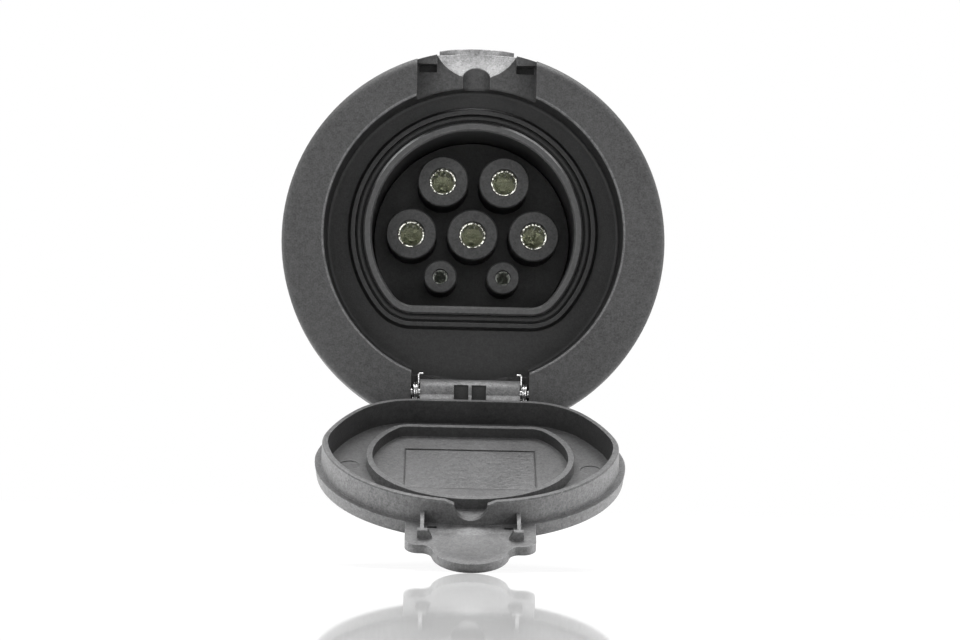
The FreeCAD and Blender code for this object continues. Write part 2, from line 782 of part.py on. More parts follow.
def tab_plate():
    """Tab outline with rounded shoulders and a round nose, symmetric across the lid."""
    low = 30.0
    blend_x = nose_r * 1.0
    corner_mid = arc_middle(tab_half_w - tab_corner_r, tab_front_s - tab_corner_r, tab_corner_r, 45)
    nose_start = arc_middle(0, nose_s, nose_r, 10)
    blend_mid = (blend_x + nose_blend_r * 0.32, tab_front_s + nose_blend_r * 0.36)

    def pt(pair, side):
        return lid_point(side * pair[0], pair[1], plate_inner_n - tab_t)
    right = [pt((tab_half_w, low), 1), pt((tab_half_w, tab_front_s - tab_corner_r), 1),
             (pt(corner_mid, 1), pt((tab_half_w - tab_corner_r, tab_front_s), 1)),
             pt((blend_x + nose_blend_r, tab_front_s), 1),
             (pt(blend_mid, 1), pt(nose_start, 1))]
    left = [(pt((0, nose_s + nose_r), 1), pt(nose_start, -1)),
            (pt(blend_mid, -1), pt((blend_x + nose_blend_r, tab_front_s), -1)),
            pt((tab_half_w - tab_corner_r, tab_front_s), -1),
            (pt(corner_mid, -1), pt((tab_half_w, tab_front_s - tab_corner_r), -1)),
            pt((tab_half_w, low), -1)]
    face = Part.Face(Part.Wire(path_edges(right + left)))
    return face.extrude(Vector(0, 0, tab_t))


def tab_cuts():
    ball_r = (dish_r ** 2 + dish_sink ** 2) / (2 * dish_sink)
    cuts = [Part.makeSphere(ball_r, lid_point(0, dish_s, plate_inner_n - dish_sink + ball_r))]
    for side in (-1, 1):
        x = side * tab_slot_x
        cuts.append(lid_block(x - tab_slot_w / 2, x + tab_slot_w / 2, tab_slot_s0, tab_slot_s1,
                              plate_inner_n - tab_slot_deep, plate_inner_n + 0.5))
    return cuts


def snap_hooks():
    """Two wedge hooks on the tab, each braced to the wall by a thin rib."""
    base = plate_inner_n - 0.3
    top = plate_inner_n + hook_h
    pieces = []
    for side in (-1, 1):
        wedge = Part.makePolygon([lid_point(side * hook_x0, hook_s0, base),
                                  lid_point(side * hook_x1, hook_s0, base),
                                  lid_point(side * hook_x1, hook_s0, top),
                                  lid_point(side * (hook_x0 + hook_slope), hook_s0, top),
                                  lid_point(side * hook_x0, hook_s0, base)])
        pieces.append(Part.Face(wedge).extrude(Vector(0, hook_s1 - hook_s0, 0)))
        x0 = side * hook_rib_x - hook_rib_t / 2
        start = math.sqrt(wall_r ** 2 - hook_rib_x ** 2) - wall_t / 2
        brace = Part.makePolygon([lid_point(x0, start, base), lid_point(x0, hook_s0 + 0.3, base),
                                  lid_point(x0, hook_s0 + 0.3, top),
                                  lid_point(x0, start, hook_rib_n), lid_point(x0, start, base)])
        pieces.append(Part.Face(brace).extrude(Vector(hook_rib_t, 0, 0)))
    return pieces


def wall_notch():
    """Half-round gap in the wall beside the tab, opening wider at the rim."""
    center_n = wall_notch_n + wall_notch_r
    half = wall_notch_top_w / 2
    s0 = wall_r - 6
    points = [lid_point(-wall_notch_r, s0, center_n),
              (lid_point(0, s0, wall_notch_n), lid_point(wall_notch_r, s0, center_n)),
              lid_point(half, s0, wall_top_n), lid_point(half, s0, wall_top_n + 1),
              lid_point(-half, s0, wall_top_n + 1), lid_point(-half, s0, wall_top_n)]
    return Part.Face(Part.Wire(path_edges(points))).extrude(Vector(0, 12, 0))


def barrel_and_web():
    """Barrel on the hinge axis and the web that joins it to the plate."""
    start = lid_point(-barrel_half_w, -hinge_drop, 0)
    barrel = Part.makeCylinder(barrel_r, 2 * barrel_half_w, start, Vector(1, 0, 0))
    outer_n = plate_inner_n - plate_edge_t
    near_s = -plate_r + plate_edge_draft
    lean = math.radians(250)
    tangent = lid_point(-barrel_half_w, -hinge_drop + barrel_r * math.cos(lean),
                        barrel_r * math.sin(lean))
    web = Part.makePolygon([tangent, lid_point(-barrel_half_w, near_s, outer_n + 0.15),
                            lid_point(-barrel_half_w, near_s + 5, outer_n + 0.15),
                            lid_point(-barrel_half_w, near_s + 5, plate_inner_n),
                            lid_point(-barrel_half_w, -hinge_drop + barrel_r + 0.6, web_top_n),
                            lid_point(-barrel_half_w, -hinge_drop, web_top_n), tangent])
    return [barrel, Part.Face(web).extrude(Vector(2 * barrel_half_w, 0, 0))]


def lay_open(shape):
    """Turns the lid's own frame into the open position about the hinge axis."""
    a = math.radians(open_deg - 90)
    along = Vector(0, -math.cos(a), -math.sin(a))
    inward = Vector(0, -math.sin(a), math.cos(a))
    turn = FreeCAD.Rotation(Vector(-1, 0, 0), along, inward, "XYZ")
    moved = shape.copy()
    base = point(0, hinge_depth, hinge_z) + along * hinge_drop
    moved.Placement = FreeCAD.Placement(base, turn)
    return moved


def barrel_window():
    front = hinge_depth - barrel_r
    pocket = block(-window_half_w, window_half_w, front - 2, front + window_sink,
                   hinge_z - window_bottom_drop, hinge_z + window_top_rise)
    return pocket.cut(block(-window_rib_w / 2, window_rib_w / 2, front - 3, front + window_sink + 1,
                            hinge_z - window_bottom_drop - 1, hinge_z + window_top_rise + 1))


def lid():
    wall_outer, wall_inner = lid_wall()
    body = fused(lid_plate(), [wall_outer, tab_plate()] + barrel_and_web())
    rib_outer, rib_inner = d_rib()
    body = fused(body.cut([wall_inner, wall_notch()]), [rib_outer] + snap_hooks())
    cuts = [rib_inner, lid_block(-pad_half_w, pad_half_w, pad_s0, pad_s1,
                                 lid_floor_n - pad_sink, lid_floor_n + 0.1)]
    cuts += [lid_rod(ejector_r, lid_floor_n - ejector_sink, lid_floor_n + 0.1, side * ejector_x,
                     ejector_s) for side in (-1, 1)]
    cuts += tab_cuts()
    cuts.append(Part.makeCylinder(pin_r + pin_run_gap, 2 * barrel_half_w + 2,
                                  lid_point(-barrel_half_w - 1, -hinge_drop, 0), Vector(1, 0, 0)))
    body = body.cut(cuts).removeSplitter()
    return lay_open(body).cut(barrel_window())


def all_parts():
    parts = {
        "front_flange": front_flange(), "collar_seal": collar_seal(),
        "panel_gasket": panel_gasket(), "mounting_inserts": mounting_inserts(),
        "socket_shell": socket_shell(), "shell_screws": shell_screws(),
        "carrier_gasket": carrier_gasket(), "contact_carrier": contact_carrier(),
        "contact_retainer": contact_retainer(), "rear_screws": rear_screws(),
        "hinge_pin": hinge_pin(), "spring_left": left_spring(), "spring_right": right_spring(),
        "lid": lid(),
    }
    for name, (x, z) in power_places.items():
        parts["contact_" + name] = power_contact(x, z)
        parts["crown_" + name] = contact_crown(x, z)
    for name, (x, z) in small_places.items():
        parts["contact_" + name] = small_contact(x, z)
    return parts


os.makedirs("parts", exist_ok=True)
for name, shape in all_parts().items():
    solids = shape.Solids
    print(name, "valid" if shape.isValid() else "INVALID", "solids", len(solids),
          "volume", round(shape.Volume, 1))
    out = solids[0] if len(solids) == 1 else Part.makeCompound(solids)
    out.exportStep("parts/%s.step" % name)
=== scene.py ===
import json
import math

import bmesh
import bpy
from mathutils import Matrix, Vector

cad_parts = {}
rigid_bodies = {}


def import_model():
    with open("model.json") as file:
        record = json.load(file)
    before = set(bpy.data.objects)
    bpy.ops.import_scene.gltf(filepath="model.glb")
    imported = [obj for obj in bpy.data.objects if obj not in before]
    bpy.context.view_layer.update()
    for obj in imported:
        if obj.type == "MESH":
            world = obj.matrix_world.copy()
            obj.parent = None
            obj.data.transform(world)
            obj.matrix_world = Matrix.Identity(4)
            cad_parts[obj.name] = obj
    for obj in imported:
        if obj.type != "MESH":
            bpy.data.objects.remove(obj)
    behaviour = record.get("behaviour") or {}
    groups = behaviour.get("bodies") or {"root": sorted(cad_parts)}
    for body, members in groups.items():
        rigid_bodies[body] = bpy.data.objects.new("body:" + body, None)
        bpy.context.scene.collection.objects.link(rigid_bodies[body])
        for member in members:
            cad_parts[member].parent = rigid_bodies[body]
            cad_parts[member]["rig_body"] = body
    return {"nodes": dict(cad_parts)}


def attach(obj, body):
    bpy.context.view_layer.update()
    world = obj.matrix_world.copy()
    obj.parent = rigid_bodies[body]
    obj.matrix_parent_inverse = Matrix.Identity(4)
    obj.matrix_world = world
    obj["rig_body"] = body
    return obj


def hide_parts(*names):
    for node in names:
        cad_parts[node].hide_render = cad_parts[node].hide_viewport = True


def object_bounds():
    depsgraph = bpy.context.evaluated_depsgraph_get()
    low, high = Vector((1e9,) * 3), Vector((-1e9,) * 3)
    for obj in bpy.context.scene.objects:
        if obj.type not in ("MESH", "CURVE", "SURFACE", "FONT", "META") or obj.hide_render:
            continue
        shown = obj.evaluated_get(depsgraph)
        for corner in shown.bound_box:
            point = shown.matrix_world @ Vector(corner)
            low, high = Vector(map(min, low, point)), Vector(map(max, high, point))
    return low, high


# The EV charging socket of the photo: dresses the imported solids, adds the lid's front wall and
# hooks and the lip behind the finger scoop, and sets up the studio

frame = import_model()
nodes = frame["nodes"]
cad_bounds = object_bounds()

MM = 0.001
SIDE, BACK, UP, FRONT = (1.0, 0.0, 0.0), (0.0, 1.0, 0.0), (0.0, 0.0, 1.0), (0.0, -1.0, 0.0)
SHARP_EDGE = math.radians(32)

# Camera: its place and its lens in mm, and its three directions
CAMERA_PLACE = (-9.3177, -810.7452, -61.6481)
CAMERA_RIGHT = (0.99964911, -0.01548687, 0.02148964)
CAMERA_UP = (-0.02225722, -0.0512249, 0.99843909)
CAMERA_AHEAD = (0.0143619, 0.99856706, 0.05155162)
SENSOR_W, LENS = 36.0, 117.0


def link_object(name, data):
    """A new object of the scene with the given data."""
    piece = bpy.data.objects.new(name, data)
    bpy.context.scene.collection.objects.link(piece)
    return piece


def make_camera():
    """Camera that sees the part as the photo does."""
    data = bpy.data.cameras.new("camera")
    data.sensor_width = SENSOR_W
    data.lens = LENS
    data.clip_start = 0.05
    data.clip_end = 20.0
    cam = link_object("camera", data)
    axes = (Vector(CAMERA_RIGHT), Vector(CAMERA_UP), -Vector(CAMERA_AHEAD))
    turn = Matrix(axes).transposed().to_4x4()
    turn.translation = Vector(CAMERA_PLACE) * MM
    cam.matrix_world = turn
    bpy.context.scene.camera = cam


# All sizes from here to the floor's are in mm, as in the part's source.
# The open lid's own frame: a point of the hinge axis, the direction along the plate towards the
# tab, and the direction out of the plate's inner face. The wall's centre is HINGE_DROP along the
# plate from the hinge, and the plate's inner face is PLATE_N out
LID_START = (0.0, -8.3, -39.25)
LID_ALONG = (0.0, -0.90996, -0.41469)
LID_OUT = (0.0, -0.41469, 0.90996)
LID_UNDER = tuple(-c for c in LID_OUT)
HINGE_DROP = 40.92
PLATE_N = -0.9

# The lid's wall, between the floor inside the lid and the rim, with its half-round gap in front,
# which is drawn in steps of GAP_STEP degrees
WALL_R, WALL_T, WALL_DRAFT, WALL_LIP = 36.3, 1.4, 0.3, 0.35
WALL_TOP = PLATE_N + 5.93
LID_FLOOR = PLATE_N - 0.35
GAP_R, GAP_N, GAP_HALF = 3.9, PLATE_N + 1.3, 6.1
GAP_STEP = 6
WALL_HALF_W = 21.7
WALL_STEPS = 26

# The ball that the tab's dish is cut with, where the front wall stands
DISH_R, DISH_S, DISH_N = 64.25, 46.8, PLATE_N - 0.5
DISH_BITE = 0.15
LEAST_WALL = 0.02

# Snap hooks on the tab, and the ribs that brace them
HOOK_X = (8.8, 12.4)
HOOK_S = (42.5, 43.9)
HOOK_SLOPE = 1.2
HOOK_TOP = PLATE_N + 2.1
RIB_X, RIB_T, RIB_TOP = 11.3, 0.9, PLATE_N + 2.8
RIB_BITE = 0.3
FOOT_N = PLATE_N - 0.3

# Face of the flange, the finger scoop's ball and the lip behind the scoop
FACE_R = 49.25
SCOOP_R, SCOOP_Y, SCOOP_Z = 13.97, -13.82, 54.07
LIP_FOOT_R, LIP_RISE, LIP_HALF_W, LIP_T, LIP_MIN_T = 48.9, 1.65, 9.7, 1.7, 0.7
LIP_COLUMNS, LIP_ROWS = 32, 6

# Corners closer than this, in metres, are one corner
CAD_WELD, SOLID_WELD = 1e-6, 2e-6


def lid_point(x, s, n):
    """A point given across, along and out of the lid's plate, in mm."""
    origin = Vector(LID_START) + Vector((x, 0.0, 0.0))
    return (origin + Vector(LID_ALONG) * (s + HINGE_DROP) + Vector(LID_OUT) * n) * MM


def part_point(x, y, z):
    """A point of the part's frame given in mm."""
    return Vector((x, y, z)) * MM


def solid_between(name, sections, place=lid_point):
    """Closed mesh through sections that have the same number of corners."""
    mesh = bmesh.new()
    rows = [[mesh.verts.new(place(*corner)) for corner in section] for section in sections]
    for near, far in zip(rows, rows[1:]):
        for i in range(len(near)):
            j = (i + 1) % len(near)
            mesh.faces.new((near[i], near[j], far[j], far[i]))
    mesh.faces.new(rows[0][::-1])
    mesh.faces.new(rows[-1])
    bmesh.ops.remove_doubles(mesh, verts=mesh.verts, dist=SOLID_WELD)
    bmesh.ops.recalc_face_normals(mesh, faces=mesh.faces)
    data = bpy.data.meshes.new(name)
    mesh.to_mesh(data)
    mesh.free()
    return link_object(name, data)


def wall_rim():
    """The rim from side to side as (across, height), round the half-round gap in the middle."""
    turns = [math.radians(a) for a in range(0, 91, GAP_STEP)]
    gap = [(GAP_R * math.sin(a), GAP_N + GAP_R * (1 - math.cos(a))) for a in turns]
    side = [(GAP_HALF + (WALL_HALF_W - GAP_HALF) * i / WALL_STEPS, WALL_TOP)
            for i in range(WALL_STEPS + 1)]
    half = gap + side
    return [(-x, n) for x, n in reversed(half[1:])] + half


def wall_section(x, top):
    """Five corners of the wall where it meets a plane across the lid."""
    full = WALL_TOP - WALL_LIP
    inner_r = WALL_R - WALL_T

    def corner(radius, n):
        return (x, math.sqrt(radius ** 2 - x ** 2), n)

    def outer_r(n):
        return WALL_R + WALL_DRAFT * (full - n) / (full - LID_FLOOR)

    def foot(radius):
        away = math.sqrt(radius ** 2 - x ** 2) - DISH_S
        dish = DISH_N + DISH_R - math.sqrt(DISH_R ** 2 - x ** 2 - away ** 2)
        return min(dish - DISH_BITE, top - LEAST_WALL)

    low = foot(WALL_R)
    shoulder = min(top, full)
    return [corner(inner_r, foot(inner_r)), corner(outer_r(low), low),
            corner(outer_r(shoulder), max(low, shoulder)),
            corner(WALL_R - max(0.0, top - full), top), corner(inner_r, top)]


def snap_hook(side):
    """Wedge hook on the tab and the thin rib that braces it to the wall."""
    wedge = [(side * HOOK_X[0], FOOT_N), (side * HOOK_X[1], FOOT_N), (side * HOOK_X[1], HOOK_TOP),
             (side * (HOOK_X[0] + HOOK_SLOPE), HOOK_TOP)]
    start = math.sqrt(WALL_R ** 2 - RIB_X ** 2) - WALL_T / 2
    end = HOOK_S[0] + RIB_BITE
    rib = [(start, FOOT_N), (end, FOOT_N), (end, HOOK_TOP), (start, RIB_TOP)]
    x0 = side * RIB_X - RIB_T / 2
    return [solid_between("wedge", [[(x, s, n) for x, n in wedge] for s in HOOK_S]),
            solid_between("rib", [[(x, s, n) for s, n in rib] for x in (x0, x0 + RIB_T)])]


def fuse(piece, added):
    """Joins pieces to one mesh and removes them."""
    for extra in added:
        join = piece.modifiers.new(extra.name, "BOOLEAN")
        join.operation = "UNION"
        join.solver = "EXACT"
        join.object = extra
    shape = bpy.context.evaluated_depsgraph_get()
    shape.update()
    fused = bpy.data.meshes.new_from_object(piece.evaluated_get(shape))
    piece.modifiers.clear()
    piece.data = fused
    for extra in added:
        bpy.data.objects.remove(extra)


def soften(piece):
    """Smooth shading that keeps the sharp edges."""
    piece.data.shade_smooth()
    piece.data.set_sharp_from_angle(angle=SHARP_EDGE)


def lid_moulding():
    """The lid in one piece: a copy of the frame's lid, its front wall and its hooks, fused."""
    lid = nodes["lid"]
    mesh = bmesh.new()
    mesh.from_mesh(lid.data)
    bmesh.ops.remove_doubles(mesh, verts=mesh.verts, dist=CAD_WELD)
    data = bpy.data.meshes.new("lid_moulding")
    mesh.to_mesh(data)
    mesh.free()
    data.attributes.remove(data.attributes["custom_normal"])
    piece = link_object("lid_moulding", data)
    wall = solid_between("wall", [wall_section(x, top) for x, top in wall_rim()])
    fuse(piece, [wall] + snap_hook(-1) + snap_hook(1))
    soften(piece)
    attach(piece, lid["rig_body"])
    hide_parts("lid")
    return piece


def scoop_lip():
    """Low lip behind the finger scoop: it follows the face's edge and rises above it."""
    columns = []
    for i in range(LIP_COLUMNS + 1):
        x = LIP_HALF_W * (2 * i / LIP_COLUMNS - 1)
        low = math.sqrt(LIP_FOOT_R ** 2 - x ** 2)
        high = math.sqrt((FACE_R + LIP_RISE) ** 2 - x ** 2)
        front = []
        for k in range(LIP_ROWS + 1):
            z = low + (high - low) * k / LIP_ROWS
            room = SCOOP_R ** 2 - x ** 2 - (z - SCOOP_Z) ** 2
            bowl = SCOOP_Y + math.sqrt(max(room, 0.0))
            front.append((x, min(max(bowl, -LIP_T), -LIP_MIN_T), z))
        columns.append(front + [(x, 0.0, high), (x, 0.0, low)])
    lip = solid_between("scoop_lip", columns, part_point)
    soften(lip)
    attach(lip, nodes["front_flange"]["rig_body"])
    return lip


class Graph:
    """Short calls for the nodes that the materials share."""

    def __init__(self, tree):
        self.nodes, self.links = tree.nodes, tree.links
        coords = self.nodes.new("ShaderNodeTexCoord")
        self.place = coords.outputs["Object"]
        self.own_normal = coords.outputs["Normal"]
        self.generated = coords.outputs["Generated"]

    def feed(self, value, socket):
        if isinstance(value, (int, float, tuple)):
            socket.default_value = value
        else:
            self.links.new(value, socket)

    def math(self, operation, *values):
        node = self.nodes.new("ShaderNodeMath")
        node.operation = operation
        for value, socket in zip(values, node.inputs):
            self.feed(value, socket)
        return node.outputs[0]

    def times(self, first, *others):
        for other in others:
            first = self.math("MULTIPLY", first, other)
        return first

    def most(self, first, *others):
        for other in others:
            first = self.math("MAXIMUM", first, other)
        return first

    def vector(self, operation, *values):
        node = self.nodes.new("ShaderNodeVectorMath")
        node.operation = operation
        for value, socket in zip(values, node.inputs):
            self.feed(value, socket)
        return node.outputs["Value" if operation in ("DISTANCE", "DOT_PRODUCT") else "Vector"]

    def scaled(self, colour, factor):
        node = self.nodes.new("ShaderNodeVectorMath")
        node.operation = "SCALE"
        node.inputs[0].default_value = colour
        self.links.new(factor, node.inputs["Scale"])
        return node.outputs["Vector"]

    def ramp(self, value, from_low, from_high, to_low=0.0, to_high=1.0):
        node = self.nodes.new("ShaderNodeMapRange")
        self.feed(value, node.inputs["Value"])
        for key, number in (("From Min", from_low), ("From Max", from_high),
                            ("To Min", to_low), ("To Max", to_high)):
            node.inputs[key].default_value = number
        return node.outputs["Result"]

    def step(self, value, off_mm, on_mm, to_off=0.0, to_on=1.0):
        """A ramp between two distances given in mm."""
        return self.ramp(value, off_mm * MM, on_mm * MM, to_off, to_on)

    def tinted(self, tone, mask, factor):
        """The tone, times a factor where the mask is 1."""
        return self.times(tone, self.ramp(mask, 0.0, 1.0, 1.0, factor))

    def noise(self, size_mm, detail=3.0, roughness=0.55, where=None):
        node = self.nodes.new("ShaderNodeTexNoise")
        node.inputs["Scale"].default_value = 1.0 / (size_mm * MM)
        node.inputs["Detail"].default_value = detail
        node.inputs["Roughness"].default_value = roughness
        self.links.new(where or self.place, node.inputs["Vector"])
        return node.outputs["Fac"]

    def blend(self, factor, a, b):
        node = self.nodes.new("ShaderNodeMix")
        node.data_type = "RGBA"
        self.feed(factor, node.inputs["Factor"])
        self.feed(a, node.inputs["A"])
        self.feed(b, node.inputs["B"])
        return node.outputs["Result"]

    def bump(self, height, distance_mm, normal):
        node = self.nodes.new("ShaderNodeBump")
        node.inputs["Distance"].default_value = distance_mm * MM
        self.feed(height, node.inputs["Height"])
        self.links.new(normal, node.inputs["Normal"])
        return node.outputs["Normal"]

    def painted_corner_shade(self, reach_mm, least):
        """Painted shade: darkens corners and cavities."""
        node = self.nodes.new("ShaderNodeAmbientOcclusion")
        node.samples = 6
        node.inputs["Distance"].default_value = reach_mm * MM
        return self.ramp(node.outputs["AO"], 0.3, 0.95, least, 1.0)

    def turned(self, direction):
        """Cosine between the surface and a direction of the part's own frame."""
        return self.vector("DOT_PRODUCT", self.own_normal, direction)

    def facing(self, direction):
        """1 where the surface faces a direction of the part's own frame."""
        return self.ramp(self.turned(direction), 0.75, 0.9)

    def rounded(self, radius_mm):
        """Normal as if sharp edges had a small radius, and a mask of those edges."""
        node = self.nodes.new("ShaderNodeBevel")
        node.samples = 4
        node.inputs["Radius"].default_value = radius_mm * MM
        flat = self.nodes.new("ShaderNodeNewGeometry").outputs["Normal"]
        turn = self.vector("DOT_PRODUCT", node.outputs["Normal"], flat)
        return node.outputs["Normal"], self.ramp(turn, 0.995, 0.86)


def new_material(name):
    """A material, its graph and its main shader."""
    mat = bpy.data.materials.new(name)
    mat.use_nodes = True
    return mat, Graph(mat.node_tree), mat.node_tree.nodes["Principled BSDF"]


def radial(g, centre):
    """Distance from an axis along Y through a centre given in mm."""
    level = g.vector("MULTIPLY", g.place, (1.0, 0.0, 1.0))
    return g.vector("DISTANCE", level, (centre[0] * MM, 0.0, centre[1] * MM))


def along(g, direction, start=(0.0, 0.0, 0.0)):
    """Distance in metres along a direction from a start point in mm."""
    offset = sum(d * s * MM for d, s in zip(direction, start))
    return g.math("SUBTRACT", g.vector("DOT_PRODUCT", g.place, direction), offset)


def off_middle(g):
    """Distance in metres to either side of the middle plane."""
    return g.math("ABSOLUTE", along(g, SIDE))


def depth(g):
    """Distance in metres behind the flange's front plane."""
    return along(g, BACK, (0.0, FRONT_Y, 0.0))


def between(g, value, low, high, soft=0.2):
    """1 inside a range in mm, 0 outside it."""
    return g.times(g.step(value, low - soft, low + soft), g.step(value, high + soft, high - soft))


# Zones of the flange and the shell, in mm: centres as (x, z), radii, and depths behind the front
FRONT_Y = -13.0
RECESS, RECESS_R = (0.0, 1.67), 38.55
SOCKET = (0.0, 2.95)
# Thin upper arcs of the bead and of the collar that get a painted highlight
BEAD_ARC_R, BEAD_ARC_X = (32.05, 32.4), (-7.0, 10.0)
COLLAR_ARC_R, COLLAR_ARCS_X = (28.1, 28.7), ((9.0, 23.0), (-24.0, -15.0))
ARC_SOFT, ARC_FADE, ARC_RISE = 0.08, 3.0, (12.0, 16.0)
COLLAR_FRONT = 12.2
SCOOP_HALF_W, SCOOP_RISE = 10.25, (43.0, 48.0)
CAVITY_R, CAVITY_DEPTH = 26.5, (12.0, 17.0)
SLEEVE_BASE, SLEEVE_TINT = (21.1, 20.5), 0.85
BORE_WALL, BORE_END, CONTACT_RIM = (21.0, 38.0), (30.0, 33.0), (25.0, 24.5)

# Middle of the open lid's inside, in the part's frame
LID_CENTRE = (0.0, -45.162, -55.878)

# Zones of the lid: along its plate from the hinge axis, across it, and out of it
PAD_ALONG, PAD_HALF_W, PAD_DEPTH = (32.72, 55.32), 16.0, 1.2
LEDGE_R = (WALL_R + 0.3, 41.0)
TAB_ALONG, BARREL_ALONG = 79.5, 5.0
DISH_EDGE_R = 8.1
WINDOW_X, WINDOW_R = (0.45, 4.1), 3.375

# Painted light and shade on the lid: how bright its shaded walls and its lit faces are, and how
# lit its outer face is
SHADED_WALLS, LIT_FACES, OUTER_FACE = 0.38, 1.1, 0.3

# Painted highlights (above 1) and painted shade (below 1): how much lighter or darker a zone is
# than the plastic around it
TINT = {"bowl": 0.36, "recess_edge": 2.4, "bead_glint": 18.0, "collar_glints": 9.0, "cavity": 0.5,
        "side_walls": 2.1, "front_wall": 0.78, "barrel": 1.5, "ledge": 1.45, "tab": 1.25,
        "pad_edge": 0.6, "windows": 0.15}
# The painted highlight on the scoop and the lip behind it, at the scoop's foot and at its top
SCOOP_HIGHLIGHT = (1.4, 4.6)


def painted_glint_arc(g, radii, across):
    """1 on a thin upper arc about the D outline's centre, which gets a painted highlight."""
    ring = between(g, radial(g, SOCKET), *radii, ARC_SOFT)
    reach = between(g, along(g, SIDE), *across, ARC_FADE)
    return g.times(ring, reach, g.step(along(g, UP), *ARC_RISE))


def scoop_area(g):
    """1 in the finger scoop at the top of the face."""
    ball = g.vector("DISTANCE", g.place, (0.0, SCOOP_Y * MM, SCOOP_Z * MM))
    wide = g.step(off_middle(g), SCOOP_HALF_W + 0.15, SCOOP_HALF_W - 0.15)
    return g.times(g.step(ball, SCOOP_R + 0.18, SCOOP_R + 0.03), wide)


def lip_area(g):
    """1 on the front of the lip behind the finger scoop."""
    back = along(g, BACK)
    wide = g.step(off_middle(g), LIP_HALF_W + 0.05, LIP_HALF_W - 0.2)
    high = g.step(along(g, UP), LIP_FOOT_R - 0.7, LIP_FOOT_R - 0.1)
    front = g.times(g.step(back, -0.3, -0.5), g.step(back, -LIP_T - 0.2, -LIP_T - 0.05))
    return g.times(front, wide, high)


def recess_shade(g):
    """Painted shade in the bowl that the lid closes, and painted highlights on the bowl's rim, on
    an arc of the bead, on the scoop and on the lip behind it."""
    deep = depth(g)
    off_axis = radial(g, RECESS)
    bowl = g.times(g.step(off_axis, RECESS_R + 0.2, RECESS_R - 0.2), g.step(deep, 0.4, 2.5))
    edge = g.times(between(g, off_axis, RECESS_R - 0.15, RECESS_R + 0.45, 0.1),
                   g.step(deep, 0.9, 0.5))
    # Painted highlight on the scoop and on the lip behind it
    painted_sheen = g.times(g.step(along(g, UP), *SCOOP_RISE, *SCOOP_HIGHLIGHT),
                   g.most(scoop_area(g), lip_area(g)))
    tone = g.tinted(g.math("ADD", painted_sheen, 1.0), bowl, TINT["bowl"])
    tone = g.tinted(tone, painted_glint_arc(g, BEAD_ARC_R, BEAD_ARC_X), TINT["bead_glint"])
    return g.tinted(tone, edge, TINT["recess_edge"])


def pad_area(g, grow):
    """1 on the rectangular pad inside the lid, widened by grow mm."""
    height = along(g, LID_OUT, LID_START)
    up = g.times(g.step(height, PLATE_N, PLATE_N - 0.2),
                 g.step(height, PLATE_N - PAD_DEPTH - 0.1, PLATE_N - PAD_DEPTH + 0.1))
    long = between(g, along(g, LID_ALONG, LID_START), PAD_ALONG[0] - grow,
                   PAD_ALONG[1] + 3 * grow, 0.1)
    wide = between(g, off_middle(g), -1.0, PAD_HALF_W + grow, 0.1)
    return g.times(up, long, wide)


def window_area(g):
    """1 in the two windows of the hinge barrel."""
    level = g.vector("MULTIPLY", g.place, (0.0, 1.0, 1.0))
    off_hinge = g.vector("DISTANCE", level, tuple(c * MM for c in LID_START))
    return g.times(between(g, off_middle(g), *WINDOW_X, 0.05),
                   g.step(off_hinge, WINDOW_R + 0.075, WINDOW_R - 0.075))


def tab_area(g):
    """1 on the tab, outside its dish and not on its outer face."""
    off_dish = g.vector("DISTANCE", g.place, tuple(lid_point(0.0, DISH_S, PLATE_N)))
    return g.times(g.step(along(g, LID_ALONG, LID_START), TAB_ALONG - 0.5, TAB_ALONG + 0.5),
                   g.step(off_dish, DISH_EDGE_R - 0.2, DISH_EDGE_R + 0.2),
                   g.ramp(g.facing(LID_UNDER), 0.0, 1.0, 1.0, 0.0))


def lid_shade(g):
    """Painted light and shade: faces along the plate, the outer walls and the barrel are lit, the
    drafted walls inside are in painted shade, and further zones are tinted lighter or darker.
    """
    centre = tuple(c * MM for c in LID_CENTRE)
    out = g.vector("NORMALIZE", g.vector("SUBTRACT", g.place, centre))
    flat = g.math("ABSOLUTE", g.turned(LID_OUT))
    outward = g.times(g.ramp(g.turned(out), 0.1, 0.5), g.ramp(flat, 0.85, 0.6))
    sideways = g.math("ABSOLUTE", g.turned(SIDE))
    inner_face = g.facing(LID_OUT)
    barrel = g.step(along(g, LID_ALONG, LID_START), BARREL_ALONG + 0.5, BARREL_ALONG - 0.5)
    off_centre = g.vector("DISTANCE", g.place, tuple(lid_point(0.0, 0.0, PLATE_N)))
    lit = g.most(inner_face, outward, barrel, g.times(g.facing(LID_UNDER), OUTER_FACE))
    # Zones of painted light and shade: lighter side walls, barrel, ledge and tab, darker front
    # wall, pad groove and barrel windows
    zones = {"side_walls": g.times(outward, g.ramp(sideways, 0.3, 0.85, 0.0, 0.8)),
             "front_wall": g.times(outward, g.ramp(sideways, 0.1, 0.5, 1.0, 0.0)),
             "barrel": barrel,
             "ledge": g.times(between(g, off_centre, *LEDGE_R), inner_face),
             "tab": tab_area(g),
             "pad_edge": g.math("SUBTRACT", pad_area(g, 0.25), pad_area(g, -0.1)),
             "windows": window_area(g)}
    tone = g.ramp(lit, 0.0, 1.0, SHADED_WALLS, LIT_FACES)
    for zone, area in zones.items():
        tone = g.tinted(tone, area, TINT[zone])
    return tone


def pad_texture(g, grain):
    """Coarser grain on the rectangular pad inside the lid."""
    return g.math("MULTIPLY_ADD", g.times(g.noise(0.8, 2.0), pad_area(g, -0.2)), 3.0, grain)


def sleeve_shade(g):
    """Painted shade: the base between the sleeves is darker than their faces."""
    return g.step(depth(g), *SLEEVE_BASE, SLEEVE_TINT, 1.0)


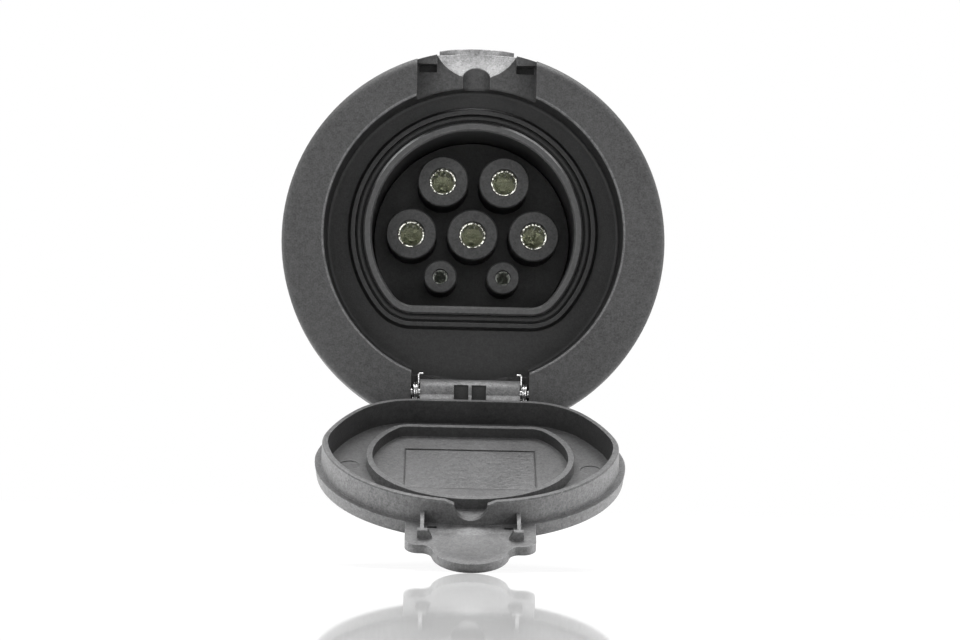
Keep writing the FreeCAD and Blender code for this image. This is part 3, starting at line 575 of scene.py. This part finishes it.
def shell_shade(g):
    """Painted shade: the cavity gets darker towards its floor; painted highlights on arcs of the
    collar's front.
    """
    deep = depth(g)
    inside = g.step(radial(g, SOCKET), CAVITY_R + 0.3, CAVITY_R - 0.3)
    inside = g.times(inside, g.step(deep, *CAVITY_DEPTH))
    arcs = g.most(*(painted_glint_arc(g, COLLAR_ARC_R, across) for across in COLLAR_ARCS_X))
    arcs = g.times(arcs, g.step(deep, COLLAR_FRONT, COLLAR_FRONT - 0.5))
    return g.tinted(g.tinted(1.0, inside, TINT["cavity"]), arcs, TINT["collar_glints"])


def bore_wall_shade(g):
    """Painted shade: the contact's bore behind the spring cage is dark."""
    return between(g, depth(g), *BORE_WALL, 0.5)


def bore_end_highlight(g):
    """Painted highlight: the flat end of the contact's bore is bright."""
    return g.times(g.facing(FRONT), g.step(depth(g), *BORE_END))


def contact_rim_shade(g):
    """Painted shade: the turned front rim is darker."""
    return g.times(g.facing(FRONT), g.step(depth(g), *CONTACT_RIM))


def rim_slot_shade(g):
    """Painted shade in noise patches on the front rim of a spring cage, standing in for its
    slots.
    """
    return g.times(contact_rim_shade(g), g.ramp(g.noise(0.5, 2.0), 0.44, 0.54))


# Shared by the materials: the tint of grey plastic, the radius of rounded edges, which also get a
# painted highlight, how far the painted shade of corners reaches and the size of blotches, in mm
NEUTRAL = (1.0, 1.0, 1.01)
EDGE_MM, METAL_EDGE_MM = 0.35, 0.1
SHADE_REACH = 8.0
BLOTCH_MM = 16.0

# Metals: the size of tarnished spots and the depth of turning marks in mm, and how much the marks
# are drawn out along the part's axis
TARNISH_MM, SCRATCH_MM = 0.6, 0.008
TURNING = (1.0, 0.12, 1.0)


def plastic(name, base, roughness, grain_mm, bump_mm, specular=0.5, edge=0.9, speckle=0.42,
            shade=None, texture=None, cavity=0.45, smooth=None):
    """Moulded plastic: spark-eroded grain, faint speckle and blotches, a painted highlight on
    sharp edges and painted shade in corners and cavities.
    """
    mat, g, bsdf = new_material(name)
    grain = g.noise(grain_mm, 4.0, 0.65)
    slow = g.noise(BLOTCH_MM)
    fine = g.noise(grain_mm * 2.7, 2.0)
    tone = g.math("ADD", g.ramp(grain, 0.3, 0.7, -speckle, speckle),
                  g.ramp(slow, 0.3, 0.7, -0.1, 0.1))
    tone = g.math("ADD", tone, g.ramp(fine, 0.35, 0.65, 1 - speckle * 0.4, 1 + speckle * 0.4))
    # The material's own zones of painted light and shade
    if shade:
        tone = g.times(tone, shade(g))
    normal, rim = g.rounded(EDGE_MM)
    # Painted shade in corners and cavities
    tone = g.times(tone, g.painted_corner_shade(SHADE_REACH, cavity))
    # Painted highlight on sharp edges, broken up by fine noise
    painted_sheen = g.times(rim, g.ramp(fine, 0.3, 0.65, 0.5, 1.0))
    tone = g.tinted(tone, painted_sheen, 1.0 + edge)
    g.links.new(g.scaled(tuple(base * c for c in NEUTRAL), tone), bsdf.inputs["Base Color"])
    height = texture(g, grain) if texture else grain
    g.links.new(g.bump(height, bump_mm, normal), bsdf.inputs["Normal"])
    dull = g.ramp(slow, 0.3, 0.7, roughness - 0.05, roughness + 0.06)
    if smooth:
        dull = g.tinted(dull, smooth(g), 0.5)
    g.links.new(dull, bsdf.inputs["Roughness"])
    bsdf.inputs["Specular IOR Level"].default_value = specular
    return mat


def metal(name, low, high, roughness, zones=()):
    """Plated or turned metal: faint turning marks, tarnish in the colour and roughness."""
    mat, g, bsdf = new_material(name)
    tarnish = g.noise(TARNISH_MM, 4.0)
    streaks = g.noise(TARNISH_MM / 2, 2.0, where=g.vector("MULTIPLY", g.place, TURNING))
    colour = g.blend(g.ramp(tarnish, 0.32, 0.68), low, high)
    # Zones of painted light and shade, each with its own colour
    for zone, tint in zones:
        colour = g.blend(zone(g), colour, tint)
    g.links.new(colour, bsdf.inputs["Base Color"])
    g.links.new(g.ramp(streaks, 0.3, 0.7, roughness - 0.07, roughness + 0.1),
                bsdf.inputs["Roughness"])
    normal, _ = g.rounded(METAL_EDGE_MM)
    g.links.new(g.bump(streaks, SCRATCH_MM, normal), bsdf.inputs["Normal"])
    bsdf.inputs["Metallic"].default_value = 1.0
    return mat


def dress(lid_piece, lip_piece):
    """Makes the materials and gives each piece its own."""
    flange = plastic("flange_plastic", 0.044, 0.54, grain_mm=0.45, bump_mm=0.07, specular=0.42,
                     edge=1.5, shade=recess_shade, smooth=scoop_area)
    # The lid's plastic is the flange's, with a lighter base that is painted light from above;
    # lid_shade puts painted shade back on its walls and outer face
    lid = plastic("lid_plastic", 0.076, 0.42, grain_mm=0.45, bump_mm=0.07, cavity=0.6,
                  shade=lid_shade, texture=pad_texture)
    shell = plastic("shell_plastic", 0.05, 0.38, grain_mm=0.4, bump_mm=0.02, edge=1.6,
                    speckle=0.25, cavity=0.75, shade=shell_shade)
    carrier = plastic("carrier_plastic", 0.026, 0.5, grain_mm=0.5, bump_mm=0.05, speckle=0.55,
                      shade=sleeve_shade)
    back = plastic("retainer_plastic", 0.05, 0.42, grain_mm=0.4, bump_mm=0.02, speckle=0.12)
    rubber = plastic("seal_rubber", 0.016, 0.62, grain_mm=0.3, bump_mm=0.03, specular=0.35,
                     edge=0.1)
    # Contacts: painted shade in the bore and on the front rim, a painted highlight on the bore's
    # end; spring cages: painted shade in patches on the front rim
    contact = metal("contact_plating", (0.62, 0.63, 0.56, 1), (0.80, 0.80, 0.73, 1), 0.3,
                    zones=((bore_wall_shade, (0.12, 0.12, 0.11, 1)), (bore_end_highlight, (0.88, 0.90, 0.76, 1)),
                           (contact_rim_shade, (0.1, 0.1, 0.09, 1))))
    crown = metal("crown_plating", (0.80, 0.81, 0.72, 1), (0.97, 0.97, 0.90, 1), 0.24,
                  zones=((rim_slot_shade, (0.05, 0.05, 0.04, 1)),))
    pin = metal("small_contact_plating", (0.6, 0.62, 0.58, 1), (0.85, 0.86, 0.82, 1), 0.3)
    steel = metal("screw_steel", (0.50, 0.50, 0.50, 1), (0.66, 0.66, 0.66, 1), 0.3)
    spring = metal("spring_steel", (0.78, 0.78, 0.78, 1), (0.9, 0.9, 0.9, 1), 0.2)
    brass = metal("insert_brass", (0.60, 0.44, 0.18, 1), (0.78, 0.60, 0.30, 1), 0.32)

    by_node = {"front_flange": flange, "lid": lid, "socket_shell": shell,
               "contact_carrier": carrier, "contact_retainer": back,
               "collar_seal": rubber, "carrier_gasket": rubber, "panel_gasket": rubber,
               "mounting_inserts": brass, "shell_screws": steel, "rear_screws": steel,
               "hinge_pin": steel, "spring_left": spring, "spring_right": spring,
               "contact_pilot": pin, "contact_proximity": pin}
    for name, piece in nodes.items():
        piece.data.materials.clear()
        others = crown if name.startswith("crown_") else contact
        piece.data.materials.append(by_node.get(name, others))
    lid_piece.data.materials.clear()
    lid_piece.data.materials.append(lid)
    lip_piece.data.materials.append(flange)


# Floor, in metres: its size, its gap to the part, and the glossy stretch in front of the lid.
# Each pair runs from no gloss to full gloss
FLOOR_SIZE, FLOOR_GAP = 3.0, 0.00002
GLOSS_NEAR, GLOSS_FAR, GLOSS_SIDE = (-0.6, -0.45), (-0.05, -0.1), (0.15, 0.07)
GLOSS_SHARE, GLOSS_ROUGHNESS = 0.6, 0.03
# What the camera sees of it is white light and a dark sheet that takes the shadow. The part is
# lit by a plain light sheet
SHADOW_SHEET, GLOW = (0.13, 0.13, 0.13, 1), 0.9
LIGHT_SHEET, SHEET_ROUGHNESS = (0.85, 0.85, 0.85, 1), 0.35


def make_floor():
    """White sheet: pure white to the eye, with a soft shadow and a faint reflection in front."""
    low = cad_bounds[0][2]
    bpy.ops.mesh.primitive_plane_add(size=FLOOR_SIZE, location=(0, 0, low - FLOOR_GAP))
    floor = bpy.context.object
    floor.name = "floor"
    mat, g, bsdf = new_material("floor")
    bsdf.inputs["Base Color"].default_value = LIGHT_SHEET
    bsdf.inputs["Roughness"].default_value = SHEET_ROUGHNESS
    path = g.nodes.new("ShaderNodeLightPath")
    shadow = g.nodes.new("ShaderNodeBsdfDiffuse")
    shadow.inputs["Color"].default_value = SHADOW_SHEET
    glow = g.nodes.new("ShaderNodeEmission")
    glow.inputs["Strength"].default_value = GLOW
    mirror = g.nodes.new("ShaderNodeBsdfGlossy")
    mirror.inputs["Color"].default_value = (1, 1, 1, 1)
    mirror.inputs["Roughness"].default_value = GLOSS_ROUGHNESS
    white = g.nodes.new("ShaderNodeAddShader")
    seen = g.nodes.new("ShaderNodeMixShader")
    out = g.nodes.new("ShaderNodeMixShader")
    back = along(g, BACK)
    gloss = g.times(g.ramp(back, *GLOSS_FAR), g.ramp(back, *GLOSS_NEAR),
                    g.ramp(off_middle(g), *GLOSS_SIDE), GLOSS_SHARE)
    for source, socket in ((shadow.outputs["BSDF"], white.inputs[0]),
                           (glow.outputs["Emission"], white.inputs[1]),
                           (gloss, seen.inputs["Fac"]),
                           (white.outputs["Shader"], seen.inputs[1]),
                           (mirror.outputs["BSDF"], seen.inputs[2]),
                           (path.outputs["Is Camera Ray"], out.inputs["Fac"]),
                           (bsdf.outputs["BSDF"], out.inputs[1]),
                           (seen.outputs["Shader"], out.inputs[2]),
                           (out.outputs["Shader"], g.nodes["Material Output"].inputs["Surface"])):
        g.links.new(source, socket)
    floor.data.materials.append(mat)


def make_world():
    """White studio: bright towards the backdrop, dimmer behind the camera; white to the eye."""
    world = bpy.data.worlds.new("studio")
    bpy.context.scene.world = world
    world.use_nodes = True
    g = Graph(world.node_tree)
    toward = g.nodes.new("ShaderNodeSeparateXYZ")
    g.links.new(g.generated, toward.inputs[0])
    path = g.nodes.new("ShaderNodeLightPath")
    seen = g.most(path.outputs["Is Camera Ray"], path.outputs["Is Transmission Ray"])
    mirrored = g.ramp(toward.outputs["Y"], -0.7, 0.1, 0.35, 1.0)
    spread = g.ramp(toward.outputs["Y"], -0.7, 0.3, 0.4, 0.7)
    strength = g.blend(path.outputs["Is Glossy Ray"], spread, mirrored)
    strength = g.blend(seen, strength, (1.0, 1.0, 1.0, 1.0))
    back = g.nodes["Background"]
    g.links.new(strength, back.inputs["Color"])
    back.inputs["Strength"].default_value = 1.0


# Area lamps: name, place and target in metres, width and height, power in watts
LAMPS = (("overhead", (0.0, 0.05, 0.9), (0, -0.03, -0.03), (1.1, 0.7), 16.0),
         ("front_left", (-0.7, -0.9, 0.35), (0, 0, -0.02), (0.5, 0.5), 3.4),
         ("front_right", (0.8, -0.8, 0.25), (0, 0, -0.02), (0.5, 0.5), 2.5),
         ("near_camera", (0.05, -1.0, 0.12), (0, 0, 0.0), (0.25, 0.25), 0.5),
         ("rim_left", (-1.0, 0.35, 0.1), (0, -0.04, -0.03), (0.4, 0.9), 3.0),
         ("rim_right", (1.0, 0.35, 0.1), (0, -0.04, -0.03), (0.4, 0.9), 3.0))


def make_lamp(name, place, target, size, power):
    """Rectangular lamp that faces its target."""
    data = bpy.data.lights.new(name, "AREA")
    data.shape = "RECTANGLE"
    data.size, data.size_y = size
    data.energy = power
    lamp = link_object(name, data)
    lamp.location = place
    lamp.rotation_euler = (Vector(target) - Vector(place)).to_track_quat("-Z", "Y").to_euler()


make_camera()
dress(lid_moulding(), scoop_lip())
make_floor()
make_world()
for lamp in LAMPS:
    make_lamp(*lamp)
bpy.context.scene.view_settings.view_transform = "Standard"
